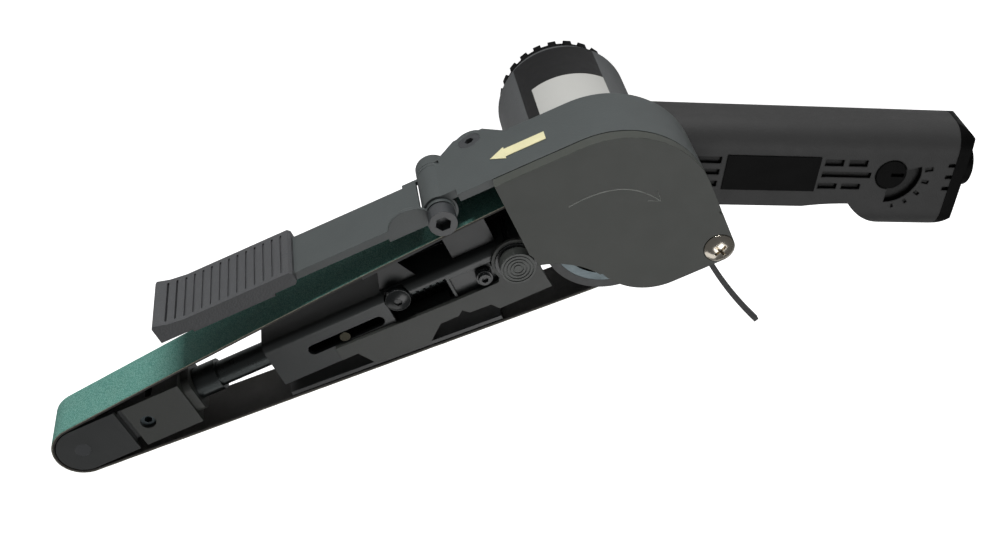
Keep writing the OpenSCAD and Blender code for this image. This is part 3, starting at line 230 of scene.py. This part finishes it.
def film(name, color, rough):
    """Printed film: even colour, a slight curl of sheen and fine dust."""
    f = Finish(name)
    speck = f.range(f.noise(0.3 * MM, 5.0, 0.8), 0.62, 0.72)
    dust = [c * 0.72 for c in color[:3]] + [1.0]
    f.set(Base_Color=f.mix(speck, f.tone(color, 0.05, 6 * MM), dust))
    f.set(Roughness=f.range(f.noise(4 * MM), 0.3, 0.7, rough - 0.05, rough + 0.08))
    f.relief(f.noise(3 * MM, 2.0), 0.02 * MM)
    return f.mat


COVER = rgb(63, 66, 61)
PLATE = rgb(58, 60, 57)
HOUSING = rgb(72, 77, 77)
SHEET = rgb(53, 55, 55)
COMPOSITE = rgb(53, 53, 53)
GRIP = rgb(72, 73, 75)
BLACK = rgb(5, 5, 5)
DARK_STEEL = rgb(88, 96, 99)
STEEL = rgb(178, 178, 176)
NICKEL = rgb(222, 214, 200)

cover_paint = paint("cover_paint", COVER, 0.5, depth=0.015 * MM, wear_and_highlight=0.6)
housing_paint = paint("housing_paint", HOUSING, 0.42, wear_and_highlight=0.6)
plate_paint = paint("plate_paint", PLATE, 0.44, radius=0.25 * MM, wear_and_highlight=0.7)
hairline_paint = paint("hairline_paint", rgb(136, 139, 134), 0.4)
button_paint = paint("button_paint", rgb(76, 79, 76), 0.42, radius=0.2 * MM, wear_and_highlight=0.8)
sheet_coat = paint("sheet_coat", SHEET, 0.32, radius=0.25 * MM, grain=0.5 * MM, depth=0.015 * MM)
arm_coat = paint("arm_coat", rgb(48, 51, 51), 0.3, radius=0.25 * MM, grain=0.5 * MM,
                 depth=0.012 * MM)
leg_coat = paint("leg_coat", PLATE, 0.42, radius=0.25 * MM, grain=0.6 * MM, depth=0.02 * MM)
cast_coat = paint("cast_coat", rgb(88, 90, 91), 0.42, radius=0.5 * MM, grain=1.4 * MM, depth=0.05 * MM)
grip_coat = moulded("grip_coat", GRIP, 0.5, radius=0.3 * MM, grain=0.8 * MM, depth=0.08 * MM)
composite = moulded("composite", COMPOSITE, 0.56, radius=0.8 * MM, shine=0.4,
                    shaded_recess_level=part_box("handle_grip")[1].z)
black_moulded = moulded("black_moulded", BLACK, 0.55, radius=0.6 * MM, grain=0.7 * MM, depth=0.04 * MM,
                        shine=0.08)
cap_ring = moulded("cap_ring", rgb(10, 10, 11), 0.45, radius=0.4 * MM, grain=0.8 * MM, depth=0.03 * MM,
                   shine=0.2)
bare_plate = moulded("bare_plate", rgb(4, 4, 4), 0.45, radius=0.15 * MM, grain=1.2 * MM, depth=0.01 * MM,
                     shine=0.06)
catch_black = moulded("lever_catch_black", rgb(26, 26, 27), 0.45)
steel = metal("steel", STEEL, 0.3, along=(1, 1, 6))
turned = metal("turned_steel", rgb(150, 150, 150), 0.32, along=(1, 1, 12))
phosphate = paint("phosphate", rgb(62, 64, 66), 0.34, radius=0.25 * MM, grain=0.4 * MM,
                  depth=0.01 * MM, wear_and_highlight=0.6)
black_oxide = metal("black_oxide", DARK_STEEL, 0.34, along=(6, 1, 1))
spring_steel = metal("spring_steel", rgb(58, 60, 62), 0.4, along=(1, 1, 6))
bronze = metal("bronze", rgb(58, 56, 48), 0.3)
blackened = paint("blackened", rgb(24, 26, 27), 0.26, radius=0.25 * MM, grain=0.4 * MM,
                  depth=0.01 * MM, wear_and_highlight=0.9)
# Upper platen: near-black paint, darkened as painted shade for the hollow under the belt's upper run
platen_shade_coat = paint("platen_shade_coat", rgb(22, 24, 24), 0.4, radius=0.25 * MM, grain=0.5 * MM,
                 depth=0.012 * MM)
dark_tube = metal("dark_tube", rgb(80, 84, 84), 0.3, along=(1, 8, 8), spread=0.12)
nickel = metal("nickel", NICKEL, 0.16, radius=0.3 * MM, depth=0.003 * MM)
alloy = metal("alloy", rgb(160, 161, 162), 0.36, along=(1, 1, 10))
iron = metal("iron", rgb(120, 118, 116), 0.42, along=(1, 1, 9), depth=0.02 * MM)
brass = metal("brass", rgb(176, 150, 92), 0.3)
tyre_rubber = rubber("tyre_rubber", rgb(84, 85, 85), 0.62)
flap_rubber = rubber("flap_rubber", rgb(34, 34, 35), 0.5)
vane_phenolic = moulded("vane_phenolic", rgb(104, 70, 40), 0.5)
muffler_felt = felt("muffler_felt", rgb(120, 114, 98))
arrow_film = film("arrow_film", rgb(226, 220, 176), 0.42)

FINISHES = {
    plate_paint: ["side_plate"],
    housing_paint: ["belt_housing", "belt_guard"],
    sheet_coat: ["tube_guides", "platen", "throttle_lever", "nose_yoke"],
    arm_coat: ["arm_channel"],
    platen_shade_coat: ["upper_platen"],
    leg_coat: ["nose_fork"],
    cover_paint: ["side_cover"],
    button_paint: ["release_button"],
    cast_coat: ["motor_housing"],
    grip_coat: ["finger_grip"],
    composite: ["handle_grip"],
    black_moulded: ["end_cap", "regulator_knob"],
    cap_ring: ["motor_cap"],
    bare_plate: ["name_plate"],
    catch_black: ["lever_catch"],
    steel: ["arm_screws", "lever_pin", "catch_pin", "grip_rivets", "hinge_nut", "drive_screw",
            "throttle_valve"],
    spring_steel: ["valve_spring", "tension_spring", "button_spring"],
    bronze: ["guide_pin"],
    turned: ["rotor", "nose_roller", "front_bearing", "rear_bearing", "roller_bearings",
             "inlet_bushing"],
    phosphate: ["clamp_screw", "hinge_bolt", "roller_axle"],
    blackened: ["set_screw", "tracking_screw", "button_collar"],
    black_oxide: ["yoke_screw", "drive_hub"],
    dark_tube: ["tension_tube"],
    nickel: ["cover_screw"],
    alloy: ["front_end_plate", "rear_end_plate", "valve_sleeve"],
    iron: ["cylinder_liner"],
    brass: ["inlet_screen"],
    tyre_rubber: ["drive_tyre"],
    flap_rubber: ["spark_flap", "valve_seal"],
    vane_phenolic: ["vanes"],
    muffler_felt: ["exhaust_muffler"],
    arrow_film: ["direction_arrow"],
}


def dress(node, mat):
    """Gives a CAD node its finish."""
    obj = nodes[node]
    if obj.material_slots:
        for slot in obj.material_slots:
            slot.material = mat
    else:
        obj.data.materials.append(mat)


for mat, names in FINISHES.items():
    for name in names:
        dress(name, mat)


# Barrel band: the height of its dark part, and the angle round the barrel where the light one ends
BAND_DARK = 22.0 * MM
BAND_FADE = 0.05 * MM
FIELD_END = math.radians(106.0)


def band_material():
    """Blank two-tone film on the motor barrel: a light field over a dark one."""
    f = Finish("barrel_band")
    where = f.add("ShaderNodeSeparateXYZ", {0: f.place}).outputs
    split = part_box("barrel_band")[0].z + BAND_DARK
    around = f.math("ARCTAN2", where["Y"], where["X"])
    field = f.math("LESS_THAN", around, FIELD_END)
    light = f.math("MULTIPLY", f.range(where["Z"], split, split + BAND_FADE), field)
    base = f.mix(light, rgb(24, 24, 25), rgb(190, 190, 186))
    speck = f.range(f.noise(0.3 * MM, 5.0, 0.8), 0.6, 0.72)
    f.set(Base_Color=f.mix(f.math("MULTIPLY", speck, 0.25), base, rgb(96, 96, 94)))
    f.set(Roughness=f.range(f.noise(5 * MM), 0.3, 0.7, 0.3, 0.42))
    f.relief(f.noise(4 * MM, 2.0), 0.02 * MM)
    return f.mat


dress("barrel_band", band_material())


def new_piece(name, mesh, body, slot, *mats):
    """An object of the scene's own that rides on a body, with its materials; its slot is not used."""
    obj = bpy.data.objects.new(name, mesh)
    bpy.context.scene.collection.objects.link(obj)
    for mat in mats:
        mesh.materials.append(mat)
    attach(obj, body)
    return obj


# Rounded edges: what counts as one point, as flat and as a sharp edge
SAME_POINT = 0.002 * MM
FLAT_ANGLE = math.radians(0.6)
SHARP_ANGLE = math.radians(32.0)
NEAR_FACE = 0.1 * MM


def bevelled(node, piece, body, slot, mat, radius, segments, low):
    """A copy of a CAD node with its sharp edges rounded, which stands for the node.

    Edges below the near face get only the share low of the radius."""
    bm = bmesh.new()
    bm.from_mesh(nodes[node].data)
    bmesh.ops.remove_doubles(bm, verts=bm.verts, dist=SAME_POINT)
    bmesh.ops.dissolve_limit(bm, angle_limit=FLAT_ANGLE, verts=bm.verts, edges=bm.edges)
    mesh = bpy.data.meshes.new(piece)
    bm.to_mesh(mesh)
    bm.free()
    mesh.materials.clear()
    for polygon in mesh.polygons:
        polygon.use_smooth = True
        polygon.material_index = 0
    obj = new_piece(piece, mesh, body, slot, mat)
    mesh.set_sharp_from_angle(angle=SHARP_ANGLE)
    weigh_edges(mesh, low)
    bevel = obj.modifiers.new("rounding", "BEVEL")
    bevel.width = radius
    bevel.segments = segments
    bevel.limit_method = "WEIGHT"
    bevel.harden_normals = True
    bevel.miter_outer = "MITER_ARC"
    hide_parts(node)


def weigh_edges(mesh, low):
    """Bevel weights: one on the sharp edges of the near face, low on the other sharp edges."""
    top = max(v.co.z for v in mesh.vertices) - NEAR_FACE
    bm = bmesh.new()
    bm.from_mesh(mesh)
    weight = bm.edges.layers.float.new("bevel_weight_edge")
    for edge in bm.edges:
        if edge.calc_face_angle(0.0) > SHARP_ANGLE:
            near = all(v.co.z > top for v in edge.verts)
            edge[weight] = 1.0 if near else low
    bm.to_mesh(mesh)
    bm.free()


# Cover arrow, in millimetres from the wheel's axis: the curve's four points, and its head's barbs
ARROW_CURVE = ((-8.5, 17.0), (7.0, 18.8), (14.5, 14.5), (20.0, 4.5))
ARROW_BARBS = ((20.4, 8.6), (16.2, 6.6))
ARROW_STEPS = 24
ARROW_WIDTH = 0.5
ARROW_SUNK = 0.02 * MM
ARROW_CREST = 0.1 * MM


def cover_arrow():
    """A raised hairline arrow that shows which way the wheel turns."""
    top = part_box("side_cover")[1].z
    line = []
    for i in range(ARROW_STEPS + 1):
        t = i / ARROW_STEPS
        terms = ((1 - t) ** 3, 3 * t * (1 - t) ** 2, 3 * t * t * (1 - t), t ** 3)
        x, y = (sum(k * p[axis] for k, p in zip(terms, ARROW_CURVE)) for axis in (0, 1))
        line.append(Vector((x, y)))
    head = [Vector(p) for p in (ARROW_BARBS[0], ARROW_CURVE[-1], ARROW_BARBS[1])]
    bm = bmesh.new()
    for stroke in (line, head):
        ridge(bm, stroke, ARROW_WIDTH, top)
    mesh = bpy.data.meshes.new("cover_arrow")
    bm.to_mesh(mesh)
    bm.free()
    new_piece("cover_arrow", mesh, "head", "painted_cover", hairline_paint)


def ridge(bm, stroke, width, level):
    """A low ridge of triangular section along a line of points in millimetres."""
    rows = []
    for i, p in enumerate(stroke):
        ahead = stroke[min(i + 1, len(stroke) - 1)] - stroke[max(i - 1, 0)]
        side = Vector((-ahead.y, ahead.x)).normalized() * width / 2
        foot = Vector((0, 0, level - ARROW_SUNK))
        left = ((p + side) * MM).to_3d() + foot
        right = ((p - side) * MM).to_3d() + foot
        crest = (p * MM).to_3d() + Vector((0, 0, level + ARROW_CREST))
        rows.append([bm.verts.new(v) for v in (left, crest, right)])
    for a, b in zip(rows, rows[1:]):
        for j in range(3):
            bm.faces.new((a[j], a[(j + 1) % 3], b[(j + 1) % 3], b[j]))
    bm.faces.new(rows[0][::-1])
    bm.faces.new(rows[-1])
    bmesh.ops.recalc_face_normals(bm, faces=bm.faces)


bevelled("side_cover", "cover_shell", "head", "painted_cover", cover_paint,
         radius=1.0 * MM, segments=4, low=0.12)
cover_arrow()

# Sanding belt
BELT_GAP = 0.3 * MM
RUN_BOW = 1.6 * MM
BACKING_SHARE = 0.55
EDGE_INSET = 0.15 * MM
FRAY = 0.16 * MM
CHAMFER_DEPTH = 0.12 * MM
CHAMFER_WIDTH = 0.25 * MM
STEPS_WHEEL = 72
STEPS_NOSE = 48
STEPS_RUN = 64
WIDTH_STEPS = 16
GRIT_FACE = 0
CLOTH_FACE = 1
EDGE_FACE = 2


def grit_material():
    """Green abrasive: grains on a resin coat, loaded with fine dust in patches."""
    f = Finish("grit")
    grain = f.cells(0.42 * MM)
    fine = f.noise(0.22 * MM, 4.0, 0.75)
    patch = f.noise(11 * MM, 5.0, 0.7)
    base = f.mix(f.range(grain, 0.1, 0.62), rgb(156, 202, 190), rgb(66, 122, 112))
    base = f.mix(f.range(fine, 0.35, 0.7), base, rgb(98, 153, 142))
    dusty = f.math("MULTIPLY", f.range(patch, 0.42, 0.8), 0.2)
    f.set(Base_Color=f.mix(dusty, base, rgb(136, 164, 152)))
    f.set(Roughness=f.range(fine, 0.3, 0.7, 0.5, 0.75), Specular_IOR_Level=0.15)
    f.relief(f.math("ADD", f.math("MULTIPLY", grain, -1.0), f.math("MULTIPLY", fine, 0.6)), 0.22 * MM)
    return f.mat


def cloth_material():
    """Backing: brown twill with a resin sheen."""
    f = Finish("backing")
    wave = {"Vector": f.place, "Scale": 1500.0, "Distortion": 1.2, "Detail": 2.0}
    twill = f.add("ShaderNodeTexWave", wave, bands_direction="DIAGONAL").outputs["Fac"]
    patch = f.noise(16 * MM, 4.0, 0.6)
    base = f.mix(f.range(twill, 0.2, 0.8), rgb(40, 38, 35), rgb(60, 56, 50))
    f.set(Base_Color=f.mix(f.range(patch, 0.35, 0.7), base, rgb(46, 44, 40)))
    f.set(Roughness=f.range(patch, 0.3, 0.7, 0.5, 0.66))
    f.relief(twill, 0.06 * MM)
    return f.mat


def cut_edge_material():
    """The belt's cut edge: tan threads between backing and grit."""
    f = Finish("cut_edge")
    thread = f.noise(0.5 * MM, 4.0, 0.8)
    f.set(Base_Color=f.mix(f.range(thread, 0.35, 0.65), rgb(86, 84, 72), rgb(160, 158, 142)))
    f.set(Roughness=0.85)
    f.relief(thread, 0.15 * MM)
    return f.mat


def belt_path():
    """Inner line of the belt as (x, y, outward x, outward y), round the wheel and the nose."""
    wheel = (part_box("drive_tyre")[1].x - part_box("drive_tyre")[0].x) / 2 + BELT_GAP
    nose_low, nose_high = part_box("nose_roller")
    nose_x = (nose_low.x + nose_high.x) / 2
    tip = (nose_high.x - nose_low.x) / 2 + BELT_GAP
    tangent = math.acos(-(wheel - tip) / abs(nose_x))
    line = []

    def arc(centre, radius, start, end, steps):
        for i in range(steps):
            a = start + (end - start) * i / steps
            line.append((centre + radius * math.cos(a), radius * math.sin(a), math.cos(a), math.sin(a)))

    def run(start, end, angle, bow):
        n = Vector((math.cos(angle), math.sin(angle)))
        for i in range(STEPS_RUN):
            t = i / STEPS_RUN
            p = start.lerp(end, t) + n * bow * math.sin(math.pi * t)
            line.append((p.x, p.y, n.x, n.y))

    def at(centre, radius, angle):
        return Vector((centre + radius * math.cos(angle), radius * math.sin(angle)))

    arc(0.0, wheel, -tangent, tangent, STEPS_WHEEL)
    run(at(0.0, wheel, tangent), at(nose_x, tip, tangent), tangent, RUN_BOW)
    arc(nose_x, tip, tangent, 2 * math.pi - tangent, STEPS_NOSE)
    run(at(nose_x, tip, -tangent), at(0.0, wheel, -tangent), -tangent, 0.0)
    return line


def belt_section(z0, z1, thick):
    """The belt's section between two edges, as (distance from the inner line, z) all round."""
    backing = thick * BACKING_SHARE
    shoulder = thick - CHAMFER_DEPTH
    across = [z0 + (z1 - z0) * k / WIDTH_STEPS for k in range(1, WIDTH_STEPS)]
    ring = [(0.0, z0), (backing, z0), (shoulder, z0), (thick, z0 + CHAMFER_WIDTH)]
    ring += [(thick, z) for z in across]
    ring += [(thick, z1 - CHAMFER_WIDTH), (shoulder, z1), (backing, z1), (0.0, z1)]
    ring += [(0.0, z) for z in reversed(across)]
    return ring


def sanding_belt():
    """The belt as one closed loop: grit outside, cloth inside, threads on the cut edges."""
    low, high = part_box("sanding_belt")
    nose_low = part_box("nose_roller")[0]
    thick = nose_low.x - low.x - BELT_GAP
    bm = bmesh.new()
    rings = []
    for i, (x, y, nx, ny) in enumerate(belt_path()):
        fray = [FRAY * noise.noise(Vector((i * 0.7, side * 9.0, 3.0))) for side in (0, 1)]
        z0 = low.z + EDGE_INSET + abs(fray[0])
        z1 = high.z - EDGE_INSET - abs(fray[1])
        ring = belt_section(z0, z1, thick)
        rings.append([bm.verts.new((x + nx * d, y + ny * d, z)) for d, z in ring])
    grit_rows = range(2, 4 + WIDTH_STEPS)
    edge_rows = (1, 4 + WIDTH_STEPS)
    count = len(rings[0])
    for i, ring in enumerate(rings):
        after = rings[(i + 1) % len(rings)]
        for j in range(count):
            k = (j + 1) % count
            face = bm.faces.new((ring[j], ring[k], after[k], after[j]))
            face.smooth = True
            if j in grit_rows:
                face.material_index = GRIT_FACE
            elif j in edge_rows:
                face.material_index = EDGE_FACE
            else:
                face.material_index = CLOTH_FACE
    bmesh.ops.recalc_face_normals(bm, faces=bm.faces)
    mesh = bpy.data.meshes.new("abrasive_belt")
    bm.to_mesh(mesh)
    bm.free()
    belt = new_piece("abrasive_belt", mesh, "head", "abrasive",
                     grit_material(), cloth_material(), cut_edge_material())
    mesh.set_sharp_from_angle(angle=math.radians(50))
    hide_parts("sanding_belt")


sanding_belt()


def coil(node, piece, body):
    """A copy of a CAD spring with smooth shading and its own mesh, which rides on the body and stands
    for the node."""
    mesh = nodes[node].data.copy()
    mesh.name = piece
    mesh.materials.clear()
    for polygon in mesh.polygons:
        polygon.use_smooth = True
        polygon.material_index = 0
    obj = new_piece(piece, mesh, body, "steel", spring_steel)
    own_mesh(obj)
    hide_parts(node)


coil("tension_spring", "tension_coil", "head")
coil("button_spring", "button_coil", "head")
coil("valve_spring", "valve_coil", "motor")

# Camera
CAMERA_PLACE = Vector((18.9, 286.4, 496.2)) * MM
CAMERA_AIM = Vector((-41.67, -8.32, 84.0)) * MM
CAMERA_ROLL = math.radians(-166.03)
CAMERA_LENS = 52.0
SENSOR_WIDTH = 36.0


def camera():
    """The camera that stands where the photograph was taken."""
    view = (CAMERA_AIM - CAMERA_PLACE).normalized()
    side = view.cross(Vector((0, 0, 1))).normalized()
    above = side.cross(view)
    up = math.cos(CAMERA_ROLL) * above + math.sin(CAMERA_ROLL) * side
    right = view.cross(up)
    turn = Matrix((right, up, -view)).transposed()
    data = bpy.data.cameras.new("camera")
    data.lens = CAMERA_LENS
    data.sensor_width = SENSOR_WIDTH
    data.clip_start = 0.01
    obj = bpy.data.objects.new("camera", data)
    obj.matrix_world = Matrix.Translation(CAMERA_PLACE) @ turn.to_4x4()
    bpy.context.scene.collection.objects.link(obj)
    bpy.context.scene.camera = obj


# Studio, in metres and watts: each lamp's place, size and power
SUBJECT = Vector((-0.06, 0.0, 0.07))
LAMPS = {
    "key": ((0.25, 1.18, 0.1), (0.9, 0.16), 13.0),
    "fill": ((0.1, -0.55, 1.2), (1.0, 0.8), 6.3),
    "low": ((-0.7, -0.9, 0.55), (0.9, 0.6), 1.4),
}
WORLD_LIGHT = 0.11
FLOOR_HALF = 4.0
FLOOR_GLOW = 0.95
WHITE = (1, 1, 1, 1)


def lamp(name, place, size, watts):
    """A soft rectangular lamp that looks at the subject."""
    data = bpy.data.lights.new(name, "AREA")
    data.shape = "RECTANGLE"
    data.size, data.size_y = size
    data.energy = watts
    obj = bpy.data.objects.new(name, data)
    obj.location = place
    obj.rotation_euler = (SUBJECT - Vector(place)).to_track_quat("-Z", "Y").to_euler()
    bpy.context.scene.collection.objects.link(obj)


def studio():
    """A pale floor under the motor cap, white to the camera, and soft lamps."""
    mesh = bpy.data.meshes.new("floor")
    corners = [(x * FLOOR_HALF, y * FLOOR_HALF, 0) for x, y in ((-1, -1), (1, -1), (1, 1), (-1, 1))]
    mesh.from_pydata(corners, [], [(0, 1, 2, 3)])
    floor = bpy.data.objects.new("floor", mesh)
    bpy.context.scene.collection.objects.link(floor)
    mesh.materials.append(floor_material())
    for name, (place, size, watts) in LAMPS.items():
        lamp(name, place, size, watts)
    world = bpy.data.worlds.new("studio")
    world.use_nodes = True
    bpy.context.scene.world = world
    background = world.node_tree.nodes["Background"]
    background.inputs["Color"].default_value = WHITE
    background.inputs["Strength"].default_value = WORLD_LIGHT
    bpy.context.scene.view_settings.view_transform = "Standard"


def floor_material():
    """Pale floor, lit evenly to the camera only, so that it shows as white."""
    f = Finish("floor")
    f.set(Base_Color=f.mix(f.noise(0.4, 2.0), (0.86, 0.86, 0.86, 1.0), (0.9, 0.9, 0.9, 1.0)))
    f.set(Roughness=0.9)
    glow = f.add("ShaderNodeEmission", {"Color": WHITE, "Strength": FLOOR_GLOW})
    lit = f.add("ShaderNodeAddShader", {0: f.shader.outputs[0], 1: glow.outputs[0]})
    seen = f.add("ShaderNodeLightPath").outputs["Is Camera Ray"]
    pick = f.add("ShaderNodeMixShader", {0: seen, 1: f.shader.outputs[0], 2: lit.outputs[0]})
    f.join(pick.outputs[0], f.tree.nodes["Material Output"].inputs["Surface"])
    return f.mat


camera()
studio()
